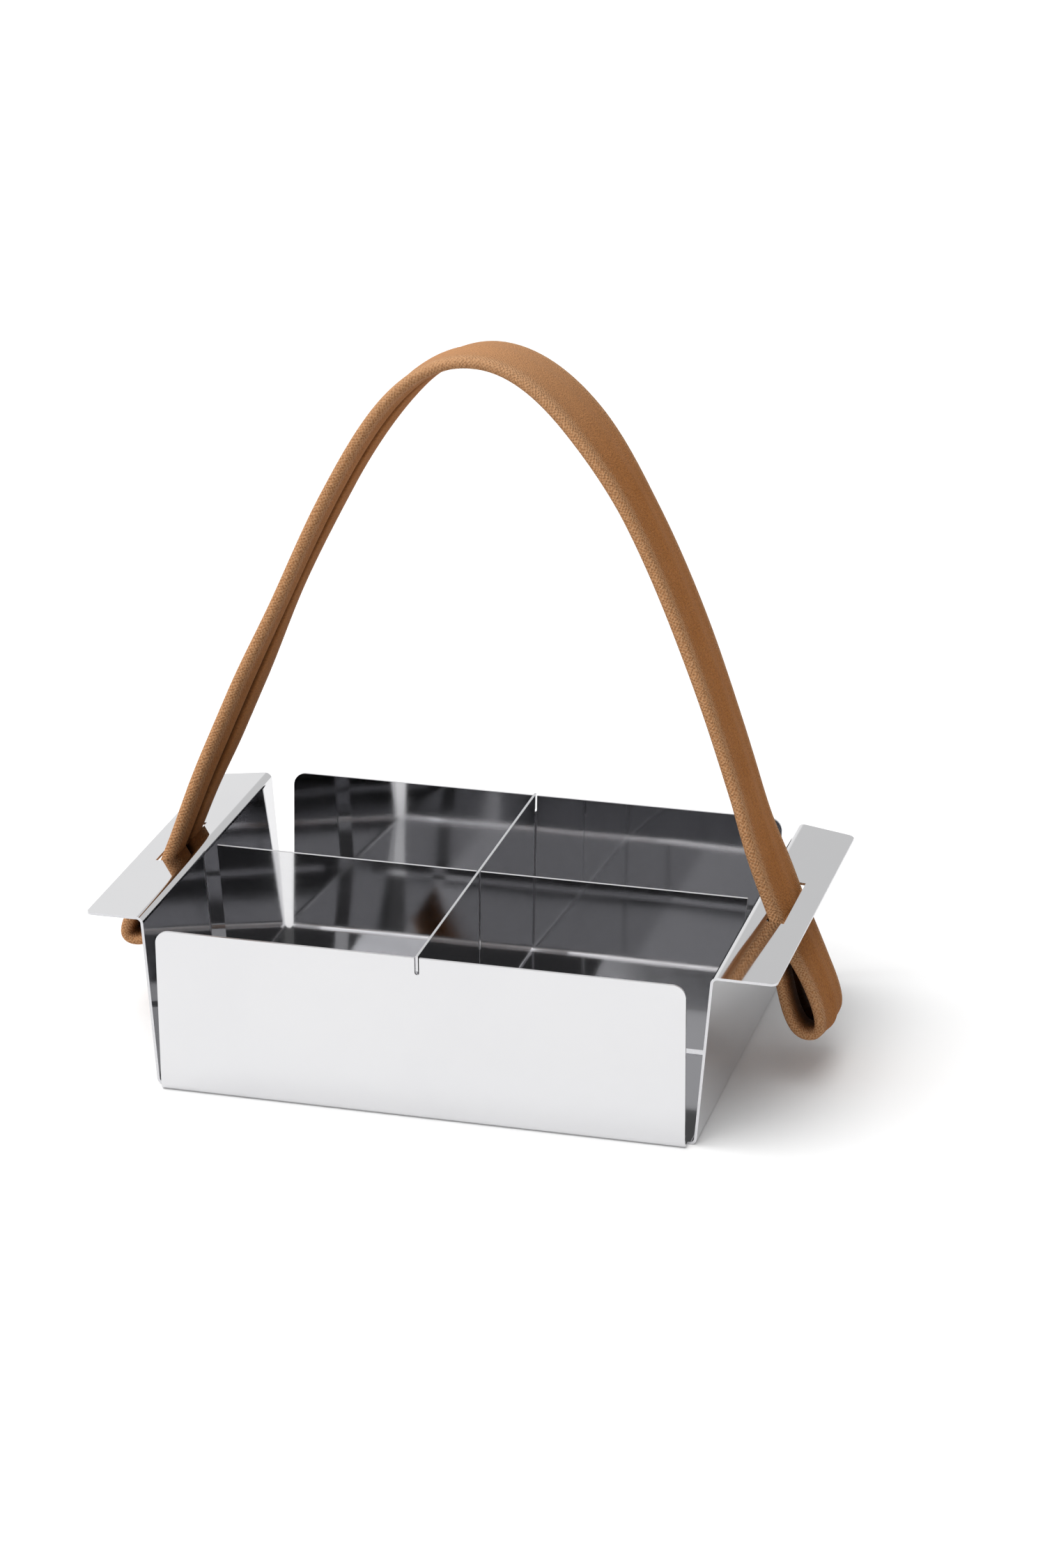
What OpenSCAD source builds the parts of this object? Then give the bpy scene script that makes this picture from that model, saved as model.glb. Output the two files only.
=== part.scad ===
// Packet holder for the table: a tray folded from one polished steel sheet, two crossed
// divider plates that stand loose in it, and one folded canvas strap as the carrying handle.
// Millimetres, +Z up, +Y to the rear, origin at the middle of the underside.

/* [Tray] */
// Thickness of the tray sheet
sheet_t = 0.8; // [0.6:0.1:1.2]
// Width of the front and rear walls
tray_w = 160; // [120:1:220]
// Depth over the outside of the front and rear walls at the floor
tray_d = 133.4; // [100:0.2:190]
// Height of the front and rear walls above the table
wall_h = 52.3; // [40:0.1:70]
// Outward lean of the front and rear walls, degrees
end_flare = 2.5; // [0:0.5:6]
// Outward lean of the left and right walls, degrees
side_flare = 4.5; // [0:0.5:8]
// Inside radius of the four floor bends
bend_r = 1.2; // [1:0.1:3]
// Radius of the upper corners of the front and rear walls
wall_corner_r = 4; // [1:0.5:8]
// How far each side wall stands outside the end of the front wall, at the floor
side_step = 2.5; // [2:0.1:5]
// How far each side wall stops short of the front and rear walls
side_setback = 3.8; // [3:0.1:7]

/* [Flanges] */
// How much higher the flange lies than the front wall
flange_rise = 1.3; // [0.5:0.1:4]
// Width of each flange, from the wall to its outer edge
flange_w = 18.8; // [16:0.1:26]
// Inside radius of the flange bend
flange_bend_r = 1.4; // [0.8:0.1:2.5]
// How much shorter the outer edge of the flange is at each end
flange_taper = 2.6; // [0.5:0.1:6]
// Straight stretch of each flange end before the taper starts
taper_start = 0.6; // [0.3:0.1:2]
// Radius of the outer corners of the flange
flange_corner_r = 2.5; // [1:0.5:5]

/* [Dividers] */
// Thickness of the divider plates
divider_t = 0.8; // [0.6:0.1:1.2]
// How far the divider plates stand above the front wall
divider_rise = 0.6; // [0.2:0.1:2]
// Gap under the divider plates
divider_lift_gap = 0.9; // [0.5:0.1:2]
// Width of each pad that the long divider stands on
divider_pad_w = 6; // [3:0.5:12]
// Gap between the ends of the long divider and the side walls
divider_end_gap = 2.4; // [1:0.1:5]
// Height of the tab at each end of the cross divider
divider_tab_h = 4.9; // [3:0.1:8]
// Free gap on each side of a plate in the halving joint
halving_gap = 0.2; // [0.1:0.05:0.4]
// Free gap on each side of a tab in its wall notch
tab_gap = 0.3; // [0.2:0.05:0.5]
// Depth of the tab notch in the front and rear walls
tab_notch_h = 5.4; // [4.5:0.1:9]

/* [Strap] */
// Width of the canvas strap
strap_w = 32.5; // [26:0.5:34]
// Thickness of the canvas strap, folded over
strap_t = 3.8; // [3:0.1:5]
// Height of the middle of the strap at the top of the arch, when it stands upright
arch_h = 210.5; // [170:0.5:250]
// Sideways offset of the top of the arch
arch_shift = -4; // [-8:0.5:8]
// Lean of the strap legs from upright, towards each other, degrees
leg_lean = 21.5; // [15:0.5:28]
// Lean of the whole arch to the rear when it is let go, degrees
lean_back = 9; // [0:0.5:20]
// Height of the swing axis above the table
swing_h = 73; // [72:0.5:90]
// Drop of the right end loop below the flange
right_loop_drop = 39.5; // [28:0.5:44]
// Drop of the left end loop below the flange
left_loop_drop = 31; // [26:0.5:42]
// Outside width of the end loops
loop_w = 15; // [12:0.5:20]
// Free gap around the strap in its slot
slot_gap = 0.4; // [0.3:0.05:0.8]
// Free gap between the swinging strap and its fixed ends
swing_gap = 0.3; // [0.2:0.05:0.6]
// How much the round ends of the swinging strap exceed half its width
swing_margin = 1.2; // [0.8:0.1:2]
// Free gap between the two layers of an end loop
layer_gap = 0.3; // [0.2:0.05:0.6]

/* [Stitching] */
// Length of one stitch
stitch_l = 3; // [2:0.1:4]
// Thickness of the sewing thread
thread_t = 0.6; // [0.4:0.1:1]
// Number of stitches across the strap
stitch_n = 6; // [3:1:8]
// Distance of the seam below the upper end of the sewn layer
seam_drop = 5; // [3:0.5:8]
// Free gap between a stitch and the strap face
stitch_gap = 0.1; // [0.05:0.05:0.3]

/* [Hidden] */
$fn = 96;
// Shares of the arch half width that the upper curve handles take, left and right
arch_top_shares = [0.345, 0.52];
// Shares of the arch height above the swing axis that the lower curve handles take, left and right
arch_leg_shares = [0.71, 0.18];
// Share of the flat flange between its bend and the middle of the strap slot
slot_share = 0.42;
// Shares of the loop width and drop that shape the end loops
loop_down_share = 0.36;
loop_out_share = 0.5;
loop_back_share = 0.56;
loop_up_share = 0.34;
// Share of the loop width by which the lowest point lies outside the slot
loop_reach_share = 0.73;
// Share of the strap thickness that rounds its long edges
edge_round_share = 0.46;
arch_steps = 32;
leg_steps = 5;
loop_steps = 14;
edge_steps = 3;
edge_cols = 8;
bend_out_r = bend_r + sheet_t;
end_half = tray_d/2;
side_half = tray_w/2 + side_step;
side_depth = tray_d - 2*side_setback;
flange_top = wall_h + flange_rise;
// Distance from the plate's outer corner to the middle of its floor bend
end_bend_c = end_half - bend_out_r*(1 - sin(end_flare))/cos(end_flare);
side_bend_c = side_half - bend_out_r*(1 - sin(side_flare))/cos(side_flare);
end_wall_l = (wall_h - bend_out_r + bend_r*sin(end_flare))/cos(end_flare);
flange_out_r = flange_bend_r + sheet_t;
// Length of the flat side wall up to the flange bend
side_wall_l = (flange_top - bend_out_r)/cos(side_flare) + bend_r*tan(side_flare) - flange_out_r;
flange_x0 = bend_out_r + flange_bend_r;
flange_x1 = bend_r + flange_w;
divider_top = wall_h + divider_rise;
divider_low = sheet_t + divider_lift_gap;
divider_mid = (divider_top + divider_low)/2;
notch_w = divider_t + 2*halving_gap;
tab_notch_w = divider_t + 2*tab_gap;
tab_low = divider_top - divider_tab_h;
// Middle of the strap slot along and above the side wall
slot_u = flange_x0 + (flange_x1 - flange_x0)*slot_share;
slot_v = side_wall_l + flange_out_r - sheet_t/2;
slot_x = side_bend_c + slot_u*cos(side_flare) + slot_v*sin(side_flare);
slot_z = bend_out_r - slot_u*sin(side_flare) + slot_v*cos(side_flare);
slot_tilt = leg_lean + side_flare;
slot_w = strap_t/cos(slot_tilt) + sheet_t*tan(slot_tilt) + 2*slot_gap;
slot_l = strap_w + 2*slot_gap;
edge_r = strap_t*edge_round_share;
swing_r = strap_w/2 + swing_margin;
// Height of the swing axis, never so low that the round strap ends meet the flange
axis_z = max(swing_h, slot_z + sheet_t + strap_t/2 + swing_r);
axis_x = slot_x - (axis_z - slot_z)*tan(leg_lean);

// Outer face of a wall that leans by flare from half at the floor, at height z
function wall_out(half, flare, z) = half + z*tan(flare);
// Inner face of the same wall
function wall_in(half, flare, z) = half + z*tan(flare) - sheet_t/cos(flare);
// Point on a cubic curve through two ends and two handles
function curve(p, t) = pow(1 - t, 3)*p[0] + 3*t*pow(1 - t, 2)*p[1] + 3*t*t*(1 - t)*p[2] + pow(t, 3)*p[3];
// Direction of the same curve
function slope(p, t) = pow(1 - t, 2)*(p[1] - p[0]) + 2*t*(1 - t)*(p[2] - p[1]) + t*t*(p[3] - p[2]);
// Straight run between two points, without the last one
function run(a, b, n) = [for (i = [0:n - 1]) a + (b - a)*i/n];
// Unit vector
function unit(v) = v/norm(v);
// Direction of a path at point i
function along(path, i) = unit(path[min(i + 1, len(path) - 1)] - path[max(i - 1, 0)]);

// Columns of the strap section, a flat band with rounded long edges: [across, half thickness]
function columns() = [
    for (i = [0:edge_steps]) let(a = 90*i/edge_steps)
        [-strap_w/2 + edge_r - edge_r*cos(a), strap_t/2 - edge_r + edge_r*sin(a)],
    for (i = [1:edge_cols - 1])
        [-strap_w/2 + edge_r + (strap_w - 2*edge_r)*i/edge_cols, strap_t/2],
    for (i = [0:edge_steps]) let(a = 90*i/edge_steps)
        [strap_w/2 - edge_r + edge_r*sin(a), strap_t/2 - edge_r + edge_r*cos(a)]
];

// Outline of the strap section, once round its columns: [across, through]
function section() = let(c = columns(), n = len(c)) [
    for (i = [0:n - 1]) [c[i][0], -c[i][1]],
    for (i = [n - 1:-1:0]) c[i]
];

// Centre line of a leg at height z, on the side given by sign
function leg(sign, z) = [sign*(slot_x - (z - slot_z)*tan(leg_lean)), z];

// Half arch from the swing axis to the top, on the side given by sign
function half_arch(sign) = let(side = sign < 0 ? 0 : 1) [
    leg(sign, axis_z),
    leg(sign, axis_z) + arch_leg_shares[side]*(arch_h - axis_z)*[-sign*sin(leg_lean), cos(leg_lean)],
    [arch_shift + sign*arch_top_shares[side]*axis_x, arch_h],
    [arch_shift, arch_h]
];

// Centre line of the whole arch between the two swing points, left to right
function arch_line() = [
    for (i = [1:arch_steps]) curve(half_arch(-1), i/arch_steps),
    for (i = [1:arch_steps - 1]) curve(half_arch(1), 1 - i/arch_steps)
];

// Height where the swinging strap ends, on a circle about the swing axis
function round_end(y) = axis_z - sqrt(pow(swing_r, 2) - y*y);
// Height where the fixed strap end stops below that circle
function hollow_end(y) = axis_z - sqrt(pow(swing_r + swing_gap, 2) - y*y);

// Where the loop starts below the flange, on the right-hand side
loop_top = leg(1, slot_z - strap_t);
// Direction of the right-hand leg, downward
leg_dir = [sin(leg_lean), -cos(leg_lean)];
// End of the sewn layer, close inside the strap
loop_end = loop_top - [(strap_t + layer_gap)/cos(leg_lean), 0];

// Lowest point of the centre line of a loop, on the right-hand side
function loop_low(drop) = [slot_x + loop_w*loop_reach_share, slot_z - drop + strap_t/2];

// Curve of a loop from under the flange down to its lowest point
function loop_down(drop) = [
    loop_top,
    loop_top + leg_dir*drop*loop_down_share,
    loop_low(drop) + [loop_w*loop_out_share, 0],
    loop_low(drop)
];

// Curve of a loop from its lowest point back up to the sewn end
function loop_back(drop) = [
    loop_low(drop),
    loop_low(drop) - [loop_w*loop_back_share, 0],
    loop_end + leg_dir*drop*loop_up_share,
    loop_end
];

// Centre line of a whole loop, on the right-hand side
function loop_line(drop) = [
    for (i = [0:loop_steps - 1]) curve(loop_down(drop), i/loop_steps),
    for (i = [0:loop_steps]) curve(loop_back(drop), i/loop_steps)
];

// Straight leg between the swing and the loop, for the section point q
function leg_run(q, sign) = run(
    leg(sign, hollow_end(q[0]) - sign*q[1]*sin(leg_lean)),
    [sign*loop_top[0], loop_top[1]],
    leg_steps
);

// Centre line of a fixed strap end for the section point q
function end_line(q, sign, drop) = concat(leg_run(q, sign), [for (p = loop_line(drop)) [sign*p[0], p[1]]]);

// Centre line of the swinging strap for the section point q
function handle_line(q) = let(z = round_end(q[0]) - q[1]*sin(leg_lean)) concat(
    run(leg(-1, z), leg(-1, axis_z), leg_steps),
    [leg(-1, axis_z)],
    arch_line(),
    run(leg(1, axis_z), leg(1, z), leg_steps),
    [leg(1, z)]
);

// Band that carries the section along one centre line per section point
module band(lines, sect) {
    rows = len(lines[0]);
    cols = len(sect);
    pts = [for (i = [0:rows - 1]) for (j = [0:cols - 1])
        let(d = along(lines[j], i), c = lines[j][i])
        [c[0] - d[1]*sect[j][1], sect[j][0], c[1] + d[0]*sect[j][1]]];
    sides = [for (i = [0:rows - 2]) for (j = [0:cols - 1])
        let(k = (j + 1)%cols)
        each [[i*cols + j, i*cols + k, (i + 1)*cols + k], [i*cols + j, (i + 1)*cols + k, (i + 1)*cols + j]]];
    low = [for (j = [0:cols/2 - 2]) each [[j, cols - 2 - j, j + 1], [j, cols - 1 - j, cols - 2 - j]]];
    caps = [for (f = low) f, for (f = low) [for (v = [2, 1, 0]) f[v] + (rows - 1)*cols]];
    polyhedron(pts, concat(sides, caps));
}

// Ring sector in the plane, from the X axis turning by a
module ring_sector(r_in, r_out, a) {
    intersection() {
        difference() {
            circle(r_out);
            circle(r_in);
        }
        polygon([[0, 0], [2*r_out, 0], [2*r_out*cos(a), 2*r_out*sin(a)]]);
    }
}

// Section of the sheet from the middle of the floor up one front or rear wall
module end_fold() {
    square([end_bend_c, sheet_t]);
    translate([end_bend_c, bend_out_r]) {
        rotate(-90) ring_sector(bend_r, bend_out_r, 90 - end_flare);
        rotate(-end_flare) translate([bend_r, 0]) square([sheet_t, end_wall_l]);
    }
}

// Section of the sheet from the middle of the floor up one side wall and out along its flange
module side_fold() {
    square([side_bend_c, sheet_t]);
    translate([side_bend_c, bend_out_r]) {
        rotate(-90) ring_sector(bend_r, bend_out_r, 90 - side_flare);
        rotate(-side_flare) {
            translate([bend_r, 0]) square([sheet_t, side_wall_l]);
            translate([flange_x0, side_wall_l]) rotate(90) ring_sector(flange_bend_r, flange_out_r, 90);
            translate([flange_x0, side_wall_l + flange_bend_r]) square([flange_x1 - flange_x0, sheet_t]);
        }
    }
}

// Corner that is cut off to leave a round of radius r, its sharp corner at the origin. The edge
// that runs to -X from that corner rises by slant degrees, and the round stays tangent to it.
module corner_cut(r, depth, slant = 0) {
    c = [-r, r*tan(slant) - r/cos(slant)];
    difference() {
        translate([0, 0, -depth/2]) linear_extrude(depth)
            polygon([c, [r, c[1]], [r, r], c + 2*r*[sin(slant), cos(slant)]]);
        translate([c[0], c[1], -depth]) cylinder(r = r, h = 2*depth);
    }
}

// Cuts at one front or rear wall: rounded upper corners and the notch for the divider tab
module end_cuts() {
    top_y = wall_out(end_half, end_flare, wall_h);
    for (s = [-1, 1]) {
        translate([s*tray_w/2, top_y, wall_h]) rotate([90, 0, 0]) mirror([s < 0 ? 1 : 0, 0, 0])
            corner_cut(wall_corner_r, 4*wall_corner_r);
    }
    translate([-tab_notch_w/2, top_y - wall_corner_r, wall_h - tab_notch_h + tab_notch_w/2])
        cube([tab_notch_w, 2*wall_corner_r, 2*tab_notch_h]);
    translate([0, top_y - wall_corner_r, wall_h - tab_notch_h + tab_notch_w/2]) rotate([-90, 0, 0])
        cylinder(d = tab_notch_w, h = 2*wall_corner_r);
}

// Cuts at one flange: the strap slot, the slanted ends and the rounded corners
module flange_cuts() {
    taper_a = atan(flange_taper/(flange_x1 - flange_x0 - taper_start));
    cut_h = 4*flange_out_r;
    translate([side_bend_c, 0, bend_out_r]) rotate([0, side_flare, 0]) {
        translate([slot_u - slot_w/2, -slot_l/2, slot_v - cut_h/2]) cube([slot_w, slot_l, cut_h]);
        for (s = [-1, 1]) {
            translate([flange_x0 + taper_start, s*side_depth/2, slot_v - cut_h/2])
                mirror([0, s < 0 ? 1 : 0, 0]) rotate(-taper_a) translate([-taper_start, 0, 0])
                cube([2*flange_w, flange_w, cut_h]);
            translate([flange_x1, s*(side_depth/2 - flange_taper), slot_v]) mirror([0, s < 0 ? 1 : 0, 0])
                corner_cut(flange_corner_r, cut_h, taper_a);
        }
    }
}

// The tray: one polished steel sheet with four walls and two flanges folded up from the floor
module tray() {
    color("Gainsboro")
    difference() {
        union() {
            for (s = [0, 1]) {
                mirror([0, s, 0]) rotate([90, 0, 90])
                    translate([0, 0, -tray_w/2]) linear_extrude(tray_w) end_fold();
                mirror([s, 0, 0]) rotate([90, 0, 0])
                    translate([0, 0, -side_depth/2]) linear_extrude(side_depth) side_fold();
            }
        }
        for (s = [0, 1]) {
            mirror([0, s, 0]) end_cuts();
            mirror([s, 0, 0]) flange_cuts();
        }
    }
}

// The long divider: a plain plate from left to right, notched from above, on two short pads
module long_divider() {
    low_x = wall_in(side_half, side_flare, divider_low) - divider_end_gap;
    top_x = wall_in(side_half, side_flare, divider_top) - divider_end_gap;
    pad_x = low_x - divider_pad_w;
    color("Silver")
    rotate([90, 0, 0]) translate([0, 0, -divider_t/2]) linear_extrude(divider_t)
    polygon([
        [-low_x, sheet_t],
        [-pad_x, sheet_t],
        [-pad_x, divider_low],
        [pad_x, divider_low],
        [pad_x, sheet_t],
        [low_x, sheet_t],
        [low_x, divider_low],
        [top_x, divider_top],
        [notch_w/2, divider_top],
        [notch_w/2, divider_mid],
        [-notch_w/2, divider_mid],
        [-notch_w/2, divider_top],
        [-top_x, divider_top],
        [-low_x, divider_low]
    ]);
}

// The cross divider: a plate from front to rear, notched from below, with a tab at each end
module cross_divider() {
    low_y = wall_in(end_half, end_flare, divider_low) - bend_r;
    neck_y = wall_in(end_half, end_flare, tab_low) - bend_r;
    tab_y = wall_out(end_half, end_flare, tab_low);
    top_y = wall_out(end_half, end_flare, divider_top);
    color("LightGray")
    rotate([90, 0, 90]) translate([0, 0, -divider_t/2]) linear_extrude(divider_t)
    polygon([
        [-low_y, divider_low],
        [-notch_w/2, divider_low],
        [-notch_w/2, divider_mid],
        [notch_w/2, divider_mid],
        [notch_w/2, divider_low],
        [low_y, divider_low],
        [neck_y, tab_low],
        [tab_y, tab_low],
        [top_y, divider_top],
        [-top_y, divider_top],
        [-tab_y, tab_low],
        [-neck_y, tab_low]
    ]);
}

// The arched strap that swings to the front and rear, leaning to the rear as it stands
module carry_strap() {
    sect = section();
    color("Peru")
    translate([0, 0, axis_z]) rotate([-lean_back, 0, 0]) translate([0, 0, -axis_z])
        band([for (q = sect) handle_line(q)], sect);
}

// One strap end: down through the flange slot and round into a loop
module strap_end(sign, drop) {
    sect = section();
    color("Sienna") band([for (q = sect) end_line(q, sign, drop)], sect);
}

// The left strap end with its loop
module left_strap_end() {
    strap_end(-1, left_loop_drop);
}

// The right strap end with its loop
module right_strap_end() {
    strap_end(1, right_loop_drop);
}

// A row of stitches that sews the end of the loop to the strap, on the inner side
module seam(sign, drop) {
    back = loop_back(drop);
    seam_at = 1 - seam_drop/(3*drop*loop_up_share);
    d = unit(slope(back, seam_at));
    spot = curve(back, seam_at) + [-d[1], d[0]]*(strap_t/2 + thread_t/2 + stitch_gap);
    pitch = (strap_w - 2*edge_r - stitch_l)/(stitch_n - 1);
    color("SaddleBrown")
    for (i = [0:stitch_n - 1]) {
        translate([sign*spot[0], (i - (stitch_n - 1)/2)*pitch, spot[1]])
            rotate([0, sign*atan2(d[0], d[1]), 0])
            cube([thread_t, stitch_l, thread_t], center = true);
    }
}

// Stitching of the left loop
module left_loop_stitching() {
    seam(-1, left_loop_drop);
}

// Stitching of the right loop
module right_loop_stitching() {
    seam(1, right_loop_drop);
}

tray();
long_divider();
cross_divider();
carry_strap();
left_strap_end();
right_strap_end();
left_loop_stitching();
right_loop_stitching();
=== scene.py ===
import math

import bpy
from mathutils import Matrix, Vector
from mathutils.bvhtree import BVHTree
from mathutils.geometry import interpolate_bezier


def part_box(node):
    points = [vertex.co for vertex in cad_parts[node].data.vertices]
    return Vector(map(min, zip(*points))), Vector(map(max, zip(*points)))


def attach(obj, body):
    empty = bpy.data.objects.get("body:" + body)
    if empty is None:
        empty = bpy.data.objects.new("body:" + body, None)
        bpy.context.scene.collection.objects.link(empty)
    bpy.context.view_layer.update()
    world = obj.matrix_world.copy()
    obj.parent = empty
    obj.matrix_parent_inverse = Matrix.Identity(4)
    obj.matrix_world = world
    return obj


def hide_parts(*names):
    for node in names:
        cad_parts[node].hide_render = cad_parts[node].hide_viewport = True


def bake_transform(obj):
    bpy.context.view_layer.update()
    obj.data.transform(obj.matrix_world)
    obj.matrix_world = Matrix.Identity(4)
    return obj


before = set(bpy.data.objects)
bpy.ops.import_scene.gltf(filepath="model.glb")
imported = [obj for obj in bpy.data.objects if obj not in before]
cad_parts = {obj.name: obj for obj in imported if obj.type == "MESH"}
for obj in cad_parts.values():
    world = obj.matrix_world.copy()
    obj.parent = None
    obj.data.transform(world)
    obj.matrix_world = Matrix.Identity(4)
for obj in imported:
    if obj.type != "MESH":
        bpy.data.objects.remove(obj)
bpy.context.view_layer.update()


# Tray: one blank of mirror polished stainless sheet, laser cut, with four walls folded up and
# a flange folded out along each side wall. The strap goes through a slot in each flange, and
# the sheared edges were only deburred, so they catch the light as thin satin lines.
SHEET_T = 0.0008
CUT_EDGE_DEPTH = 1.6 * SHEET_T
DEBURR_R = 0.00011
DEBURR_STEPS = 2
SHARP_ANGLE = math.radians(50)
FLAT_ANGLE = math.radians(0.5)
FACE_WEIGHT = 100
WELD_DISTANCE = 1e-6


# An sRGB hex colour as linear light.
def linear(hex_colour):
    channels = [int(hex_colour[i:i + 2], 16) / 255 for i in (1, 3, 5)]
    curve = [c / 12.92 if c <= 0.04045 else ((c + 0.055) / 1.055) ** 2.4 for c in channels]
    return (*curve, 1.0)


# Pattern cells per metre for a cell of so many millimetres.
def per_mm(size_mm):
    return 1000 / size_mm


def add(tree, kind, sockets=None, **settings):
    made = tree.nodes.new(kind)
    for name, value in settings.items():
        setattr(made, name, value)
    for name, value in (sockets or {}).items():
        if isinstance(value, bpy.types.NodeSocket):
            tree.links.new(value, made.inputs[name])
        else:
            made.inputs[name].default_value = value
    return made


def new_material(name):
    material = bpy.data.materials.new(name)
    material.use_nodes = True
    tree = material.node_tree
    tree.nodes.clear()
    return material, tree


def pick(piece):
    bpy.ops.object.select_all(action="DESELECT")
    bpy.context.view_layer.objects.active = piece
    piece.select_set(True)


# Mirror polished stainless steel: almost sharp reflections that sway a little with the sheet,
# fine polishing lines along the sheet and soft wipe marks that dull the gloss in patches.
def polished_steel():
    material, tree = new_material("mirror_polished_stainless")
    place = add(tree, "ShaderNodeTexCoord").outputs["Object"]
    sway_mm, wipe_mm, line_mm, line_run_mm = 55, 38, 0.35, 14
    sway_rise_m = 0.00011
    sway = add(tree, "ShaderNodeTexNoise", {"Vector": place, "Scale": per_mm(sway_mm),
                                            "Detail": 1.0})
    sway_bump = add(tree, "ShaderNodeBump", {"Height": sway.outputs["Fac"], "Strength": 1.0,
                                             "Distance": sway_rise_m})
    # Polishing grit leaves lines near 0.02 mm wide; 0.35 mm is the finest that shows.
    stretched = add(tree, "ShaderNodeMapping", {
        "Vector": place, "Scale": (per_mm(line_run_mm), per_mm(line_mm), per_mm(line_mm))})
    lines = add(tree, "ShaderNodeTexNoise", {"Vector": stretched.outputs["Vector"], "Scale": 1.0,
                                             "Detail": 2.0})
    wipes = add(tree, "ShaderNodeTexNoise", {"Vector": place, "Scale": per_mm(wipe_mm),
                                             "Detail": 4.0, "Roughness": 0.6, "Distortion": 0.6})
    line_gloss = add(tree, "ShaderNodeMapRange", {
        "Value": lines.outputs["Fac"], "From Min": 0.35, "From Max": 0.75,
        "To Min": 0.0, "To Max": 0.018})
    wipe_gloss = add(tree, "ShaderNodeMapRange", {
        "Value": wipes.outputs["Fac"], "From Min": 0.4, "From Max": 0.75,
        "To Min": 0.028, "To Max": 0.06})
    gloss = add(tree, "ShaderNodeMath", {0: line_gloss.outputs["Result"],
                                         1: wipe_gloss.outputs["Result"]}, operation="ADD")
    tone = add(tree, "ShaderNodeMix", {"Factor": wipes.outputs["Fac"], "A": linear("#DADADB"),
                                       "B": linear("#D5D5D7")}, data_type="RGBA")
    shader = add(tree, "ShaderNodeBsdfPrincipled", {
        "Base Color": tone.outputs["Result"], "Metallic": 1.0,
        "Roughness": gloss.outputs["Value"], "Normal": sway_bump.outputs["Normal"]})
    add(tree, "ShaderNodeOutputMaterial", {"Surface": shader.outputs["BSDF"]})
    return material


# Deburred stainless edge: the same steel with a satin grain across the cut, so it shows as
# a pale line without sharp reflections.
def deburred_edge():
    material, tree = new_material("deburred_stainless_edge")
    place = add(tree, "ShaderNodeTexCoord").outputs["Object"]
    grain_mm = 0.4
    grain = add(tree, "ShaderNodeTexNoise", {"Vector": place, "Scale": per_mm(grain_mm),
                                             "Detail": 2.0})
    gloss = add(tree, "ShaderNodeMapRange", {"Value": grain.outputs["Fac"], "To Min": 0.22,
                                             "To Max": 0.42})
    tone = add(tree, "ShaderNodeMix", {"Factor": grain.outputs["Fac"], "A": linear("#DADADC"),
                                       "B": linear("#C6C6C9")}, data_type="RGBA")
    shader = add(tree, "ShaderNodeBsdfPrincipled", {
        "Base Color": tone.outputs["Result"], "Metallic": 1.0,
        "Roughness": gloss.outputs["Result"]})
    add(tree, "ShaderNodeOutputMaterial", {"Surface": shader.outputs["BSDF"]})
    return material


STEEL = polished_steel()
STEEL_EDGE = deburred_edge()


# A sheet metal piece keeps the exact outline of its solid: its facets are joined to whole
# faces and the sharp edges are rounded by the deburring. A face with more metal behind it than
# the sheet is thick is a cut edge and gets the satin finish.
def sheet_piece(name, node):
    pick(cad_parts[node])
    bpy.ops.object.duplicate()
    piece = bpy.context.view_layer.objects.active
    piece.name = name
    piece.parent = None
    piece.matrix_world = Matrix.Identity(4)
    for key in list(piece.keys()):
        del piece[key]
    pick(piece)
    bpy.ops.object.mode_set(mode="EDIT")
    bpy.ops.mesh.select_all(action="SELECT")
    bpy.ops.mesh.customdata_custom_splitnormals_clear()
    bpy.ops.mesh.remove_doubles(threshold=WELD_DISTANCE)
    bpy.ops.mesh.dissolve_limited(angle_limit=FLAT_ANGLE)
    bpy.ops.object.mode_set(mode="OBJECT")
    piece.data.materials.clear()
    piece.data.materials.append(STEEL)
    piece.data.materials.append(STEEL_EDGE)
    solid = BVHTree.FromPolygons([v.co for v in piece.data.vertices],
                                 [face.vertices for face in piece.data.polygons])
    for face in piece.data.polygons:
        start = face.center - face.normal * WELD_DISTANCE
        depth = solid.ray_cast(start, -face.normal)[3]
        cut_edge = depth is not None and depth >= CUT_EDGE_DEPTH
        face.material_index = piece.data.materials.find(STEEL_EDGE.name if cut_edge else STEEL.name)
    rounding = piece.modifiers.new("deburr", "BEVEL")
    rounding.width = DEBURR_R
    rounding.segments = DEBURR_STEPS
    rounding.limit_method = "ANGLE"
    rounding.angle_limit = SHARP_ANGLE
    bpy.ops.object.modifier_apply(modifier="deburr")
    bpy.ops.object.shade_smooth()
    flatten = piece.modifiers.new("flat faces", "WEIGHTED_NORMAL")
    flatten.mode = "FACE_AREA"
    flatten.weight = FACE_WEIGHT
    bpy.ops.object.modifier_apply(modifier="flat faces")
    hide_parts(node)
    return piece


tray = sheet_piece("folded_tray", "tray")
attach(tray, "tray")


# Dividers: two plates of the same polished sheet with a halving notch each. The long one
# stands on two pads on the tray floor; the cross one drops over it from above, and its tabs
# sit in the notches of the front and rear walls.
long_plate = sheet_piece("long_divider_plate", "long_divider")
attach(long_plate, "long_divider")
cross_plate = sheet_piece("cross_divider_plate", "cross_divider")
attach(cross_plate, "cross_divider")


# Strap: one strip of brown cotton canvas folded lengthwise into a flat soft tube, so that its
# turned-in edges meet in a seam along the inner face. It arches over the tray, goes down through
# the flange slots and turns back up behind each flange, where the end is sewn to the strap.
STRAP_W = 0.0325
STRAP_T = 0.0038
FOLD_R = STRAP_T / 2
FACE_STEPS, FOLD_STEPS, INNER_STEPS = 24, 12, 32
SEAM_OFFSET = 0.0008
SEAM_DEPTH = 0.0021
SEAM_HALF = 0.0015
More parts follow.
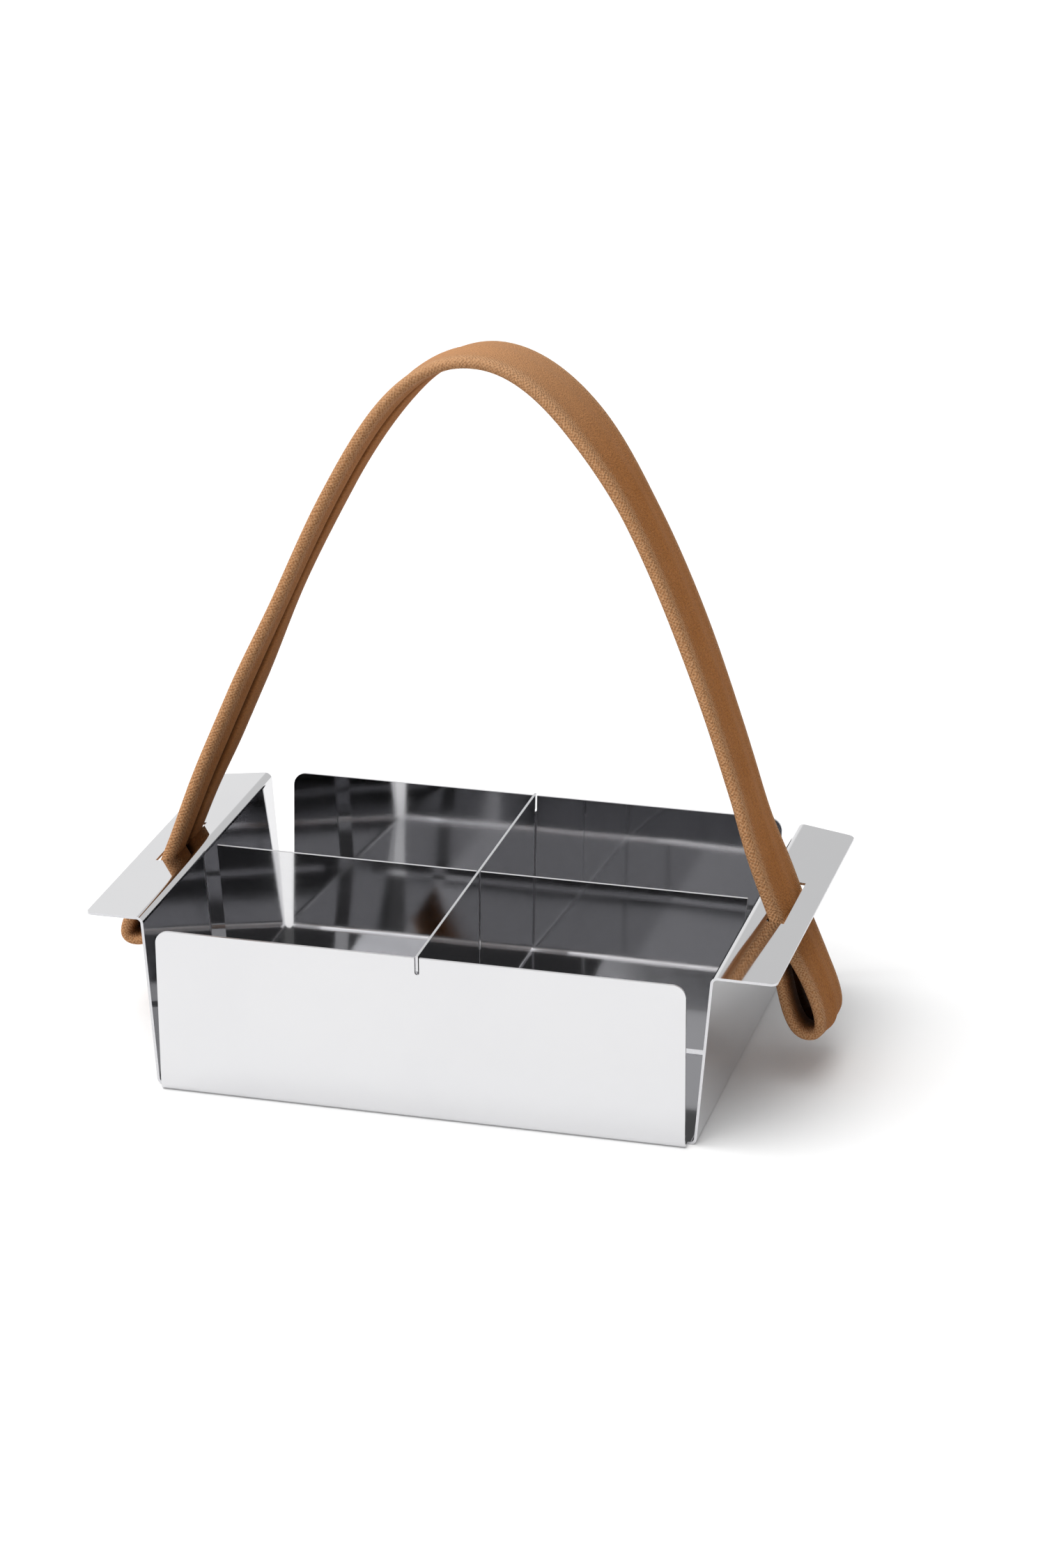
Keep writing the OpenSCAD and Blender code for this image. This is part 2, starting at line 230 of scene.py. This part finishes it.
# The points of the inner face crowd towards the seam by this power.
SEAM_CROWD = 1.7
ROLL_RISE = 0.0005
CROWN_RISE = 0.0007
CROWN_HALF = 0.0048
EDGE_DROP = 0.00035
EDGE_DROP_POWER = 4
SLICE_L = 0.0006
SLOT_X, SLOT_Z = 0.0950283, 0.0524816
LEAN = math.radians(21.5)
LEAN_BACK = math.radians(9)
SWING_Z = 0.073
SWING_BLEND = 0.014
ARCH_Z = 0.2105
ARCH_X = -0.004
AXIS_X = SLOT_X - (SWING_Z - SLOT_Z) * math.tan(LEAN)
LAYER_GAP = 0.0003
LOOP_W = 0.015
LOOP_DROP = {-1: 0.032, 1: 0.0398}
LOOP_TILT = 0.14
SAG_RUN = 0.019
LOOP_SHARES = {"reach": 0.7, "down": 0.2, "out": 0.72, "back": 0.56, "up": 0.34}
LOOP_THIN = 0.86
LEG_SHARE = 1 / 3
ARCH_TOP_SHARE = {-1: 0.345, 1: 0.52}
ARCH_LEG_SHARE = {-1: 0.71, 1: 0.18}
LENGTH_STEPS = 200
ROUTE_STEPS = 64
# Slow twist of the soft strap from the left swing axis to the right one, in degrees.
TWISTS = [0, 0, 4, 2, 0, 4, 5.5, 1.5, 1.5, 0.5, 0]
LOOP_TOP = Vector((SLOT_X + STRAP_T * math.tan(LEAN), SLOT_Z - STRAP_T))
LOOP_END = LOOP_TOP - Vector(((STRAP_T + LAYER_GAP) / math.cos(LEAN), 0))
LEG_DOWN = Vector((math.sin(LEAN), -math.cos(LEAN)))


# Middle line of one half of the strap, from its sewn end round the loop up to the swing axis:
# each stop is a place with the curve handles before and after it.
def half_route(side):
    drop = LOOP_DROP[side]
    low = Vector((SLOT_X + LOOP_W * LOOP_SHARES["reach"], SLOT_Z - drop + STRAP_T / 2))
    bend = Vector((AXIS_X, SWING_Z))
    leg = (bend - LOOP_TOP) * LEG_SHARE
    arch = bend - LEG_DOWN * ARCH_LEG_SHARE[side] * (ARCH_Z - SWING_Z)
    inward = low - Vector((LOOP_W * LOOP_SHARES["back"], 0))
    outward = low + Vector((LOOP_W * LOOP_SHARES["out"], 0))
    stops = [
        (LOOP_END, LOOP_END, LOOP_END + LEG_DOWN * drop * LOOP_SHARES["up"]),
        (low, inward, outward),
        (LOOP_TOP, LOOP_TOP + LEG_DOWN * drop * LOOP_SHARES["down"], LOOP_TOP + leg),
        (bend, bend - leg, arch),
    ]
    return [[Vector((side * p.x, p.y)) for p in stop] for stop in stops]


apex = Vector((ARCH_X, ARCH_Z))
crown = [apex] + [apex + Vector((side * ARCH_TOP_SHARE[side] * AXIS_X, 0)) for side in (-1, 1)]
right_half = [[p, after, before] for p, before, after in reversed(half_route(1))]
stops = half_route(-1) + [crown] + right_half


def run_length(points):
    spans = [interpolate_bezier(a[0], a[2], b[1], b[0], LENGTH_STEPS)
             for a, b in zip(points, points[1:])]
    return sum((q - p).length for span in spans for p, q in zip(span, span[1:]))


strap_l = run_length(stops)
swing_starts = run_length(stops[:4])
swing_ends = strap_l - run_length(right_half)
apex_at = run_length(stops[:5])
leg_starts = run_length(stops[:3])
leg_ends = run_length(right_half[1:])

bpy.ops.object.select_all(action="DESELECT")
bpy.ops.curve.primitive_bezier_curve_add(location=(0, 0, 0))
route = bpy.context.view_layer.objects.active
route.data.dimensions = "2D"
route.data.resolution_u = ROUTE_STEPS
spline = route.data.splines[0]
spline.bezier_points.add(len(stops) - len(spline.bezier_points))
for point, (place, before, after) in zip(spline.bezier_points, stops):
    point.handle_left_type = point.handle_right_type = "FREE"
    point.co = place.to_3d()
    point.handle_left = before.to_3d()
    point.handle_right = after.to_3d()


# Section of the folded strap: an outer face that is crowned over the turned-in cloth, round
# folds at both edges, and two rolls on the inner face with the seam between them.
def strap_outline():
    section = []
    flat = STRAP_W / 2 - FOLD_R
    fold_mid = -EDGE_DROP / 2
    fold_half = (STRAP_T - EDGE_DROP) / 2
    for i in range(FACE_STEPS + 1):
        across = flat * (2 * i / FACE_STEPS - 1)
        rise = CROWN_RISE * math.exp(-(across / CROWN_HALF) ** 2)
        drop = EDGE_DROP * (across / flat) ** EDGE_DROP_POWER
        section.append((across, STRAP_T / 2 + rise - drop))
    for i in range(1, FOLD_STEPS):
        turn = math.pi * i / FOLD_STEPS
        section.append((flat + FOLD_R * math.sin(turn), fold_mid + fold_half * math.cos(turn)))
    for i in range(INNER_STEPS + 1):
        share = 1 - 2 * i / INNER_STEPS
        side = flat - SEAM_OFFSET if share > 0 else flat + SEAM_OFFSET
        off = side * math.copysign(abs(share) ** SEAM_CROWD, share)
        seam = SEAM_DEPTH * math.exp(-(off / SEAM_HALF) ** 2)
        roll = ROLL_RISE * math.sin(math.pi * abs(off) / side)
        section.append((SEAM_OFFSET + off, -STRAP_T / 2 + seam - roll))
    for i in range(1, FOLD_STEPS):
        turn = math.pi * (1 + i / FOLD_STEPS)
        section.append((-flat + FOLD_R * math.sin(turn), fold_mid + fold_half * math.cos(turn)))
    return section


outline = strap_outline()
slice_n = round(strap_l / SLICE_L)
bpy.ops.object.select_all(action="DESELECT")
bpy.ops.mesh.primitive_circle_add(vertices=len(outline), radius=STRAP_W / 2, fill_type="NOTHING")
strap = bpy.context.view_layer.objects.active
strap.name = "folded_canvas_strap"
for vertex, (across, through) in zip(strap.data.vertices, outline):
    vertex.co = (0, through, across)
bpy.ops.object.mode_set(mode="EDIT")
bpy.ops.mesh.select_all(action="SELECT")
bpy.ops.mesh.extrude_region_move(TRANSFORM_OT_translate={"value": (strap_l / slice_n, 0, 0)})
bpy.ops.object.mode_set(mode="OBJECT")
slices = strap.modifiers.new("length", "ARRAY")
slices.count = slice_n
slices.use_relative_offset = False
slices.use_constant_offset = True
slices.constant_offset_displace = (strap_l / slice_n, 0, 0)
slices.use_merge_vertices = True
slices.merge_threshold = WELD_DISTANCE
bpy.ops.object.modifier_apply(modifier="length")
bpy.ops.object.mode_set(mode="EDIT")
bpy.ops.mesh.select_all(action="DESELECT")
bpy.ops.mesh.select_mode(type="EDGE")
bpy.ops.mesh.select_non_manifold()
bpy.ops.mesh.edge_face_add()
bpy.ops.mesh.select_all(action="SELECT")
bpy.ops.mesh.normals_make_consistent(inside=False)
bpy.ops.object.mode_set(mode="OBJECT")

# The weave follows the cloth, so the map holds real lengths along the strap and round it.
# Points are told apart to a tenth of a micrometre.
POINT_KEY = 1e7
runs = [0.0]
for (a, b), (c, d) in zip(outline, outline[1:] + outline[:1]):
    runs.append(runs[-1] + math.hypot(c - a, d - b))
girth = runs[-1]
around = {(round(a * POINT_KEY), round(b * POINT_KEY)): run for (a, b), run in zip(outline, runs)}
vertex_run = [around[(round(v.co.z * POINT_KEY), round(v.co.y * POINT_KEY))]
              for v in strap.data.vertices]
uv = strap.data.uv_layers.new(name="strap_length_and_girth")
for face in strap.data.polygons:
    spans = [vertex_run[strap.data.loops[i].vertex_index] for i in face.loop_indices]
    wraps = max(spans) - min(spans) > girth / 2
    for i, span in zip(face.loop_indices, spans):
        x = strap.data.vertices[strap.data.loops[i].vertex_index].co.x
        uv.data[i].uv = (x, span + girth if wraps and span < girth / 2 else span)

# Where the cloth is stretched over a fold, where painted shade darkens the seam groove and the
# inside of the loops, and where a painted highlight lightens the top of the arch.
FOLD_REACH, FOLD_START = 0.0068, 1.25
SEAM_SHADE_SHIFT = 0.0007
SEAM_SHADE_TOP = STRAP_T / 4
ARCH_TOP_REACH, ARCH_TOP_START = 0.06, 1.1
LOOP_SHADE = 0.75
fold = strap.data.attributes.new("fold", "FLOAT", "POINT")
painted_seam_loop_shade = strap.data.attributes.new("painted_seam_loop_shade", "FLOAT", "POINT")
painted_arch_top_highlight = strap.data.attributes.new("painted_arch_top_highlight", "FLOAT", "POINT")


def soft_step(share):
    share = min(1.0, max(0.0, share))
    return share * share * (3 - 2 * share)


for vertex in strap.data.vertices:
    edge = STRAP_W / 2 - abs(vertex.co.z)
    folded = soft_step(FOLD_START - edge / FOLD_REACH)
    fold.data[vertex.index].value = folded
    # Painted highlight: the outer face near the apex is marked to be lightened, as light from above
    # falls on the top of the arch.
    arch_top = soft_step(ARCH_TOP_START - abs(vertex.co.x - apex_at) / ARCH_TOP_REACH)
    painted_arch_top_highlight.data[vertex.index].value = arch_top * soft_step(0.5 + vertex.co.y / STRAP_T)
    past_leg = max(leg_starts - vertex.co.x, vertex.co.x - strap_l + leg_ends)
    looped = soft_step(past_leg / STRAP_W)
    # Painted shade: a dark line along the seam groove of the inner face, and inside the loops.
    if vertex.co.y < SEAM_SHADE_TOP:
        off = vertex.co.z - SEAM_OFFSET + SEAM_SHADE_SHIFT
        inside = looped * soft_step(-2 * vertex.co.y / STRAP_T) * (1 - folded)
        painted_seam_loop_shade.data[vertex.index].value = max(math.exp(-(off / SEAM_HALF) ** 2), LOOP_SHADE * inside)
    vertex.co.y *= 1 - (1 - LOOP_THIN) * looped

for vertex in strap.data.vertices:
    place = (vertex.co.x - swing_starts) / (swing_ends - swing_starts) * (len(TWISTS) - 1)
    stop = min(len(TWISTS) - 2, max(0, int(place)))
    ease = soft_step(place - stop)
    twist = math.radians(TWISTS[stop] * (1 - ease) + TWISTS[stop + 1] * ease)
    through, across = vertex.co.y, vertex.co.z
    vertex.co.y = through * math.cos(twist) - across * math.sin(twist)
    vertex.co.z = across * math.cos(twist) + through * math.sin(twist)

bend = strap.modifiers.new("route", "CURVE")
bend.object = route
bend.deform_axis = "POS_X"
bpy.ops.object.modifier_apply(modifier="route")
bpy.data.objects.remove(route)
# The route was drawn flat, so the strap is stood upright.
strap.data.transform(Matrix.Rotation(math.radians(90), 4, "X"))


# Let go, the arch leans to the rear above its swing axis, and the loops hang lower at the rear.
def settle(point):
    rise = point.z - SWING_Z
    lean = LEAN_BACK * soft_step((rise + SWING_BLEND) / (2 * SWING_BLEND))
    sag = LOOP_TILT * soft_step((LOOP_TOP.y - point.z) / SAG_RUN)
    depth = point.y
    point.y = depth * math.cos(lean) + rise * math.sin(lean)
    point.z = SWING_Z + rise * math.cos(lean) - depth * math.sin(lean) - depth * sag


for vertex in strap.data.vertices:
    settle(vertex.co)
pick(strap)
bpy.ops.object.shade_smooth()


# Plain woven cotton canvas, dyed tan brown: dry and matt. Its threads stand out as staggered
# beads where the folds stretch it, with painted highlights on the bead tops, painted shade in
# the gaps between them and a painted sheen on the folds. On the faces they lie flatter, as short
# crosswise ribs, under faint lengthwise streaks and a cloudy dye. Painted shade darkens the seam
# groove and the inside of the loops, and a painted highlight lightens the top of the arch.
def brown_canvas():
    material, tree = new_material("brown_cotton_canvas")
    bead_run_mm, bead_row_mm, wander_mm, slub_mm = 1.15, 0.75, 1.9, 0.8
    rib_mm, rib_run_mm, streak_mm, streak_run_mm, cloud_mm = 0.5, 1.6, 1.6, 26, 12
    drift_m, weave_rise_m = (0.0013, 0.0010, 0), 0.00025
    slub_share, rib_share, arch_top_highlight_share = 2.4, 0.7, 0.5
    flat = add(tree, "ShaderNodeUVMap", uv_map="strap_length_and_girth").outputs["UV"]
    folded = add(tree, "ShaderNodeAttribute", attribute_name="fold").outputs["Fac"]
    seam_loop_shade_mask = add(tree, "ShaderNodeAttribute", attribute_name="painted_seam_loop_shade").outputs["Fac"]
    arch_top_highlight_mask = add(tree, "ShaderNodeAttribute", attribute_name="painted_arch_top_highlight").outputs["Fac"]
    wander = add(tree, "ShaderNodeTexNoise", {"Vector": flat, "Scale": per_mm(wander_mm),
                                              "Detail": 2.0}, noise_dimensions="2D")
    drift = add(tree, "ShaderNodeVectorMath", {0: wander.outputs["Color"], 1: (0.5, 0.5, 0.5)},
                operation="SUBTRACT")
    uneven = add(tree, "ShaderNodeVectorMath", {0: drift.outputs["Vector"], 1: drift_m, 2: flat},
                 operation="MULTIPLY_ADD")
    counted = add(tree, "ShaderNodeVectorMath", {
        0: uneven.outputs["Vector"],
        1: (2 * math.pi * per_mm(bead_run_mm), math.pi * per_mm(bead_row_mm), 0)},
        operation="MULTIPLY")
    waves = add(tree, "ShaderNodeVectorMath", {0: counted.outputs["Vector"]}, operation="SINE")
    sides = add(tree, "ShaderNodeSeparateXYZ", {"Vector": waves.outputs["Vector"]})
    crossing = add(tree, "ShaderNodeMath", {0: sides.outputs["X"], 1: sides.outputs["Y"]},
                   operation="MULTIPLY")
    slubs = add(tree, "ShaderNodeTexNoise", {"Vector": flat, "Scale": per_mm(slub_mm),
                                             "Detail": 1.0}, noise_dimensions="2D")
    grain = add(tree, "ShaderNodeMath", {0: slubs.outputs["Fac"], 1: slub_share,
                                         2: crossing.outputs["Value"]}, operation="MULTIPLY_ADD")
    bead = add(tree, "ShaderNodeMapRange", {"Value": grain.outputs["Value"], "From Min": 0.2,
                                            "From Max": 2.2})
    crosswise = add(tree, "ShaderNodeMapping", {
        "Vector": flat, "Scale": (per_mm(rib_mm), per_mm(rib_run_mm), 1)})
    ribs = add(tree, "ShaderNodeTexNoise", {"Vector": crosswise.outputs["Vector"], "Scale": 1.0,
                                            "Detail": 2.0}, noise_dimensions="2D")
    clouds = add(tree, "ShaderNodeTexNoise", {"Vector": flat, "Scale": per_mm(cloud_mm),
                                              "Detail": 3.0}, noise_dimensions="2D")
    drawn = add(tree, "ShaderNodeMapping", {
        "Vector": flat, "Scale": (per_mm(streak_run_mm), per_mm(streak_mm), 1)})
    streaks = add(tree, "ShaderNodeTexNoise", {"Vector": drawn.outputs["Vector"], "Scale": 1.0,
                                               "Detail": 3.0}, noise_dimensions="2D")
    stand = add(tree, "ShaderNodeMapRange", {"Value": folded, "To Min": 0.34, "To Max": 1.0})
    weave = add(tree, "ShaderNodeMath", {0: bead.outputs["Result"], 1: stand.outputs["Result"]},
                operation="MULTIPLY")
    height = add(tree, "ShaderNodeMath", {0: ribs.outputs["Fac"], 1: rib_share,
                                          2: weave.outputs["Value"]}, operation="MULTIPLY_ADD")
    bump = add(tree, "ShaderNodeBump", {"Height": height.outputs["Value"], "Strength": 1.0,
                                        "Distance": weave_rise_m})
    base = add(tree, "ShaderNodeMix", {"Factor": clouds.outputs["Fac"], "A": linear("#AB6C35"),
                                       "B": linear("#BC7E4A")}, data_type="RGBA")
    streak_tone = add(tree, "ShaderNodeMapRange", {
        "Value": streaks.outputs["Fac"], "From Min": 0.42, "From Max": 0.72,
        "To Min": 0.0, "To Max": 0.2})
    streaked = add(tree, "ShaderNodeMix", {"Factor": streak_tone.outputs["Result"],
                                           "A": base.outputs["Result"], "B": linear("#93602F")},
                   data_type="RGBA")
    # Painted shade: the gaps between the beads are mixed towards dark brown.
    gap = add(tree, "ShaderNodeMapRange", {"Value": bead.outputs["Result"], "From Min": 0.05,
                                           "From Max": 0.5, "To Min": 0.44, "To Max": 0.0})
    gap_share = add(tree, "ShaderNodeMath", {0: gap.outputs["Result"], 1: stand.outputs["Result"]},
                    operation="MULTIPLY")
    rib_tone = add(tree, "ShaderNodeMapRange", {"Value": ribs.outputs["Fac"], "From Min": 0.3,
                                                "From Max": 0.6, "To Min": 0.55, "To Max": 0.0})
    ribbed = add(tree, "ShaderNodeMix", {"Factor": rib_tone.outputs["Result"],
                                         "A": streaked.outputs["Result"], "B": linear("#85532A")},
                 data_type="RGBA")
    # Painted sheen: the folds are mixed towards a paler, less saturated tan.
    fold_share = add(tree, "ShaderNodeMapRange", {"Value": folded, "From Min": 0.6, "From Max": 1.0,
                                                  "To Min": 0.0, "To Max": 0.55})
    stretched = add(tree, "ShaderNodeMix", {"Factor": fold_share.outputs["Result"],
                                            "A": ribbed.outputs["Result"], "B": linear("#CB9B72")},
                    data_type="RGBA")
    bead_gap_shaded = add(tree, "ShaderNodeMix", {"Factor": gap_share.outputs["Value"],
                                          "A": stretched.outputs["Result"], "B": linear("#7A4C28")},
                  data_type="RGBA")
    # Painted highlight: the top of the arch is mixed towards a pale tan.
    arch_top_highlight_amount = add(tree, "ShaderNodeMath", {0: arch_top_highlight_mask, 1: arch_top_highlight_share}, operation="MULTIPLY")
    arch_top_highlighted = add(tree, "ShaderNodeMix", {"Factor": arch_top_highlight_amount.outputs["Value"],
                                          "A": bead_gap_shaded.outputs["Result"], "B": linear("#CFA27B")},
                  data_type="RGBA")
    # Painted highlight: the bead tops are mixed towards a pale tan.
    peak = add(tree, "ShaderNodeMapRange", {"Value": weave.outputs["Value"], "From Min": 0.3,
                                            "From Max": 0.95, "To Min": 0.0, "To Max": 0.5})
    lit = add(tree, "ShaderNodeMix", {"Factor": peak.outputs["Result"],
                                      "A": arch_top_highlighted.outputs["Result"], "B": linear("#D3A880")},
              data_type="RGBA")
    # Painted shade: the seam groove and the inside of the loops are mixed towards dark brown.
    cloth = add(tree, "ShaderNodeMix", {"Factor": seam_loop_shade_mask, "A": lit.outputs["Result"],
                                        "B": linear("#2A1608")}, data_type="RGBA")
    dry = add(tree, "ShaderNodeMapRange", {"Value": ribs.outputs["Fac"], "To Min": 0.7,
                                           "To Max": 0.95})
    shader = add(tree, "ShaderNodeBsdfPrincipled", {
        "Base Color": cloth.outputs["Result"], "Roughness": dry.outputs["Result"], "IOR": 1.45,
        "Specular IOR Level": 0.1, "Sheen Weight": 0.09, "Sheen Roughness": 0.35,
        "Sheen Tint": linear("#E3AE80"), "Normal": bump.outputs["Normal"]})
    add(tree, "ShaderNodeOutputMaterial", {"Surface": shader.outputs["BSDF"]})
    return material


strap.data.materials.append(brown_canvas())
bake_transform(strap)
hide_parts("carry_strap", "left_strap_end", "right_strap_end")


# Stitching: a row of six bar stitches of twisted brown thread at each loop. They go through the
# turned-up strap end, on the side towards the tray wall.
STITCH_N = 6
STITCH_L = 0.003
STITCH_SIDES, STITCH_RINGS = 14, 12
THREAD_T = 0.0006


# Twisted sewing thread: slightly glossy brown, with slanting ridges of its plies.
def sewing_thread():
    material, tree = new_material("twisted_brown_thread")
    ply_mm, ply_rise_m, ply_slant = 0.89, 0.00008, math.radians(35)
    # Blender's wave pattern turns by 20 radians in each unit of its coordinate.
    wave_rate = 20
    place = add(tree, "ShaderNodeTexCoord").outputs["Object"]
    turned = add(tree, "ShaderNodeMapping", {"Vector": place, "Rotation": (ply_slant, 0, 0)})
    plies = add(tree, "ShaderNodeTexWave", {
        "Vector": turned.outputs["Vector"], "Scale": 2 * math.pi / wave_rate * per_mm(ply_mm),
        "Distortion": 0.4}, bands_direction="Y")
    bump = add(tree, "ShaderNodeBump", {"Height": plies.outputs["Fac"], "Distance": ply_rise_m})
    tone = add(tree, "ShaderNodeMix", {"Factor": plies.outputs["Fac"], "A": linear("#5B3518"),
                                       "B": linear("#8A5A33")}, data_type="RGBA")
    shader = add(tree, "ShaderNodeBsdfPrincipled", {
        "Base Color": tone.outputs["Result"], "Roughness": 0.6, "Normal": bump.outputs["Normal"]})
    add(tree, "ShaderNodeOutputMaterial", {"Surface": shader.outputs["BSDF"]})
    return material


THREAD = sewing_thread()
for node in ("left_loop_stitching", "right_loop_stitching"):
    low, high = (Vector(corner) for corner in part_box(node))
    middle = (low + high) / 2
    pitch = (high.y - low.y - STITCH_L) / (STITCH_N - 1)
    stitches = []
    for i in range(STITCH_N):
        spot = (middle.x, (i - (STITCH_N - 1) / 2) * pitch, middle.z)
        bpy.ops.object.select_all(action="DESELECT")
        bpy.ops.mesh.primitive_uv_sphere_add(segments=STITCH_SIDES, ring_count=STITCH_RINGS,
                                             radius=0.5, location=spot,
                                             rotation=(math.radians(90), 0, 0),
                                             scale=(THREAD_T, THREAD_T, STITCH_L))
        stitches.append(bpy.context.view_layer.objects.active)
    for stitch in stitches:
        stitch.select_set(True)
    bpy.ops.object.join()
    seam = bpy.context.view_layer.objects.active
    seam.name = node.replace("stitching", "thread")
    bpy.ops.object.transform_apply(location=True, rotation=True, scale=True)
    for vertex in seam.data.vertices:
        settle(vertex.co)
    bpy.ops.object.shade_smooth()
    seam.data.materials.append(THREAD)
    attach(seam, "tray")
    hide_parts(node)


# Floor and light: a white table under one broad overhead light from the front left, with soft
# fill from above that fades to the right. Metal sees the pale room behind and the dark camera
# side in front, and the backdrop is white.
FLOOR_SIZE = 14.0
FLOOR_SHIFT = 2.0
FLOOR_GLOW = 0.05
LIGHT_TURN = (math.radians(20), math.radians(-21), 0)
LIGHT_SPREAD = math.radians(78)
LIGHT_LEVEL = 2.1


def white_floor():
    material, tree = new_material("white_table")
    path = add(tree, "ShaderNodeLightPath")
    seen = add(tree, "ShaderNodeMath", {0: path.outputs["Is Camera Ray"],
                                        1: path.outputs["Is Glossy Ray"]}, operation="MAXIMUM")
    tone = add(tree, "ShaderNodeMix", {"Factor": seen.outputs["Value"], "A": linear("#EAEAEA"),
                                       "B": linear("#FFFFFF")}, data_type="RGBA")
    shade = add(tree, "ShaderNodeBsdfDiffuse", {"Color": tone.outputs["Result"]})
    lift = add(tree, "ShaderNodeMath", {0: seen.outputs["Value"], 1: FLOOR_GLOW},
               operation="MULTIPLY")
    glow = add(tree, "ShaderNodeEmission", {"Strength": lift.outputs["Value"]})
    both = add(tree, "ShaderNodeAddShader", {0: shade.outputs["BSDF"], 1: glow.outputs["Emission"]})
    add(tree, "ShaderNodeOutputMaterial", {"Surface": both.outputs["Shader"]})
    return material


bpy.ops.object.select_all(action="DESELECT")
bpy.ops.mesh.primitive_plane_add(size=FLOOR_SIZE, location=(0, FLOOR_SHIFT, 0))
floor = bpy.context.view_layer.objects.active
floor.name = "table_top"
floor.data.materials.append(white_floor())

bpy.ops.object.light_add(type="SUN", rotation=LIGHT_TURN)
lamp = bpy.context.view_layer.objects.active
lamp.name = "broad_overhead_light"
lamp.data.angle = LIGHT_SPREAD
lamp.data.energy = LIGHT_LEVEL

world = bpy.data.worlds.new("studio_room")
bpy.context.scene.world = world
world.use_nodes = True
room = world.node_tree
room.nodes.clear()
ray = add(room, "ShaderNodeLightPath")
toward = add(room, "ShaderNodeTexCoord").outputs["Generated"]
axes = add(room, "ShaderNodeSeparateXYZ", {"Vector": toward})
behind = add(room, "ShaderNodeMapRange", {
    "Value": axes.outputs["Y"], "From Min": -0.25, "From Max": 0.45, "To Min": 0.14, "To Max": 1.0},
    interpolation_type="SMOOTHSTEP")
leftward = add(room, "ShaderNodeMapRange", {
    "Value": axes.outputs["X"], "From Min": -0.15, "From Max": -0.3, "To Min": 0.74, "To Max": 1.0})
mirror_room = add(room, "ShaderNodeMath", {0: behind.outputs["Result"],
                                           1: leftward.outputs["Result"]}, operation="MULTIPLY")
fade_to_right = -0.72
skyward = add(room, "ShaderNodeMath", {0: axes.outputs["X"], 1: fade_to_right,
                                       2: axes.outputs["Z"]}, operation="MULTIPLY_ADD")
overhead = add(room, "ShaderNodeMapRange", {"Value": skyward.outputs["Value"], "From Min": -0.1,
                                            "From Max": 1.0, "To Min": 0.03, "To Max": 0.84})
level = add(room, "ShaderNodeMix", {"Factor": ray.outputs["Is Glossy Ray"],
                                    "A": overhead.outputs["Result"],
                                    "B": mirror_room.outputs["Value"]})
backdrop = add(room, "ShaderNodeMath", {0: level.outputs["Result"],
                                        1: ray.outputs["Is Camera Ray"]}, operation="MAXIMUM")
glow = add(room, "ShaderNodeBackground", {"Color": (1, 1, 1, 1),
                                          "Strength": backdrop.outputs["Value"]})
add(room, "ShaderNodeOutputWorld", {"Surface": glow.outputs["Background"]})

# Camera: a long lens from the front right and above, as the table is seen when one stands.
CAMERA_PLACE = (0.3301, -1.2189, 0.5586)
CAMERA_TARGET = (0.0127, 0.0035, 0.0811)
CAMERA_ROLL = math.radians(0.22)
SENSOR_MM, LENS_MM = 36.0, 102.86
MIRROR_BOUNCES = 8
bpy.ops.object.camera_add(location=CAMERA_PLACE)
camera = bpy.context.view_layer.objects.active
aim = Vector(CAMERA_TARGET) - camera.location
roll = Matrix.Rotation(CAMERA_ROLL, 3, "Z").to_quaternion()
camera.rotation_mode = "QUATERNION"
camera.rotation_quaternion = aim.to_track_quat("-Z", "Y") @ roll
camera.data.sensor_fit = "VERTICAL"
camera.data.sensor_height = SENSOR_MM
camera.data.lens = LENS_MM
bpy.context.scene.camera = camera
bpy.context.scene.view_settings.view_transform = "Standard"
# The polished walls mirror each other, so a ray bounces more often than Blender's usual four.
bpy.context.scene.cycles.glossy_bounces = MIRROR_BOUNCES
